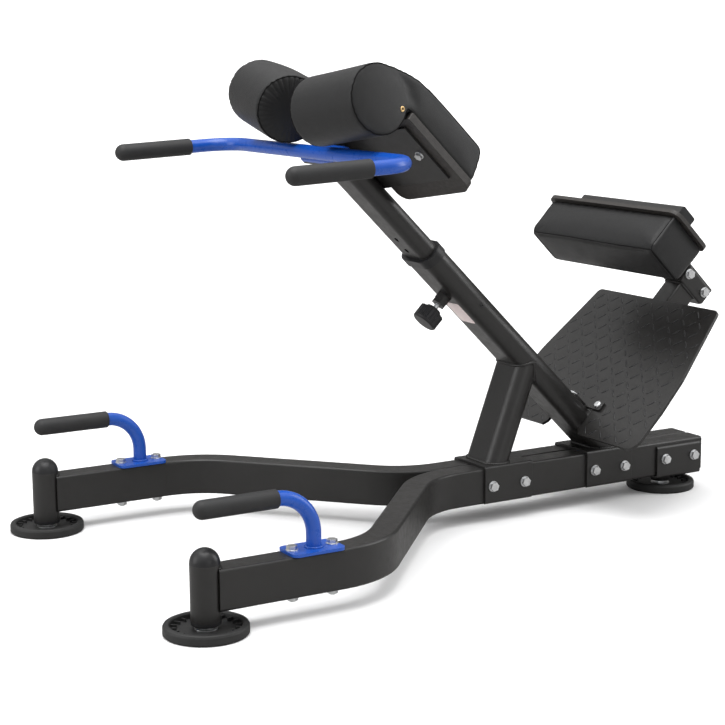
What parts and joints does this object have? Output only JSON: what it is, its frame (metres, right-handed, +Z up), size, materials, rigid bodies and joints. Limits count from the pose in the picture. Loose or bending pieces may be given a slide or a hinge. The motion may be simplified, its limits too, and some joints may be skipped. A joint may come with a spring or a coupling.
{
  "type": "roman chair",
  "caption": "45-degree back-extension bench: spread-leg base, telescoping inclined mast with split thigh pads and handlebar, footplate and ankle pad.",
  "frame": {"origin": "on the floor, under the middle of the overall bounding box", "axes": "+Z up; +Y towards the rear foot, the footplate and the ankle pad; the two spread legs, low handles and thigh pads point to -Y; +X is the left side of a user lying face down, who looks towards -Y"},
  "size_m": [0.85, 1.398, 0.8951],
  "materials": {
    "rubber_black": "matte moulded rubber",
    "zinc_steel": "satin zinc plate",
    "black_coat": "satin powder coat with fine texture",
    "black_screws": "black oxide",
    "black_plastic": "fine satin moulding",
    "blue_coat": "semi-gloss powder coat",
    "grip_rubber": "matte vinyl",
    "dark_board": "dark stained plywood edge",
    "black_leatherette": "grained upholstery vinyl"
  },
  "bodies": {
    "frame": {"beam_bolts": "zinc_steel", "m10_nuts": "zinc_steel", "handle_bolts": "zinc_steel", "arm_bolts": "zinc_steel", "footplate_fasteners": "zinc_steel", "pin_spring": "zinc_steel", "front_post_l": "black_coat", "front_post_r": "black_coat", "leg_l": "black_coat", "leg_r": "black_coat", "front_saddle": "black_coat", "mid_saddle": "black_coat", "rear_bracket": "black_coat", "rear_boss": "black_coat", "mast_outer": "black_coat", "support_post": "black_coat", "pin_housing": "black_coat", "footplate": "black_coat", "footplate_bracket": "black_coat", "ankle_post": "black_coat", "arm_bracket": "black_coat", "ankle_arm": "black_coat", "ankle_cross_tube": "black_coat", "set_screw": "black_screws", "ankle_board_screws": "black_screws", "post_caps": "black_plastic", "post_plugs": "black_plastic", "beam_end_caps": "black_plastic", "mast_collar": "black_plastic", "ankle_tube_caps": "black_plastic", "low_handle_l": "blue_coat", "low_handle_r": "blue_coat", "low_plate_l": "blue_coat", "low_plate_r": "blue_coat", "low_grip_l": "grip_rubber", "low_grip_r": "grip_rubber", "ankle_board": "dark_board", "ankle_cushion": "black_leatherette"},
    "pad_carriage": {"mast_inner": "black_coat", "inner_plug": "black_plastic", "mast_top_plate": "black_coat", "handlebar_base": "blue_coat", "head_bolts": "zinc_steel", "handlebar": "blue_coat", "upper_grip_l": "grip_rubber", "upper_grip_r": "grip_rubber", "pad_plate": "black_coat", "pad_bolts": "zinc_steel", "thigh_board_l": "dark_board", "thigh_board_r": "dark_board", "thigh_cushion_l": "black_leatherette", "thigh_cushion_r": "black_leatherette"},
    "pop_pin_body": {"pop_pin": "zinc_steel", "knob": "black_plastic"},
    "foot_front_l": {"front_foot_l": "rubber_black", "front_stud_l": "zinc_steel"},
    "foot_front_r": {"front_foot_r": "rubber_black", "front_stud_r": "zinc_steel"},
    "foot_rear": {"rear_foot": "rubber_black", "rear_stud": "zinc_steel"}
  },
  "joints": [
    {"name": "pad_height", "type": "slide", "parent": "frame", "child": "pad_carriage", "axis": [0, 0.7071, -0.7071], "range_m": [-0.1248, 0.1248], "stiffness_N_per_m": 900, "springref_m": -0.12841},
    {"name": "pop_pin_slide", "type": "slide", "parent": "frame", "child": "pop_pin_body", "axis": [0, 0.7071, 0.7071], "range_m": [0, 0.011]},
    {"name": "level_front_l", "type": "slide", "parent": "frame", "child": "foot_front_l", "axis": [0, 0, -1], "range_m": [0, 0.01]},
    {"name": "level_front_r", "type": "slide", "parent": "frame", "child": "foot_front_r", "axis": [0, 0, -1], "range_m": [0, 0.01]},
    {"name": "level_rear", "type": "slide", "parent": "frame", "child": "foot_rear", "axis": [0, 0, -1], "range_m": [0, 0.01]}
  ]
}
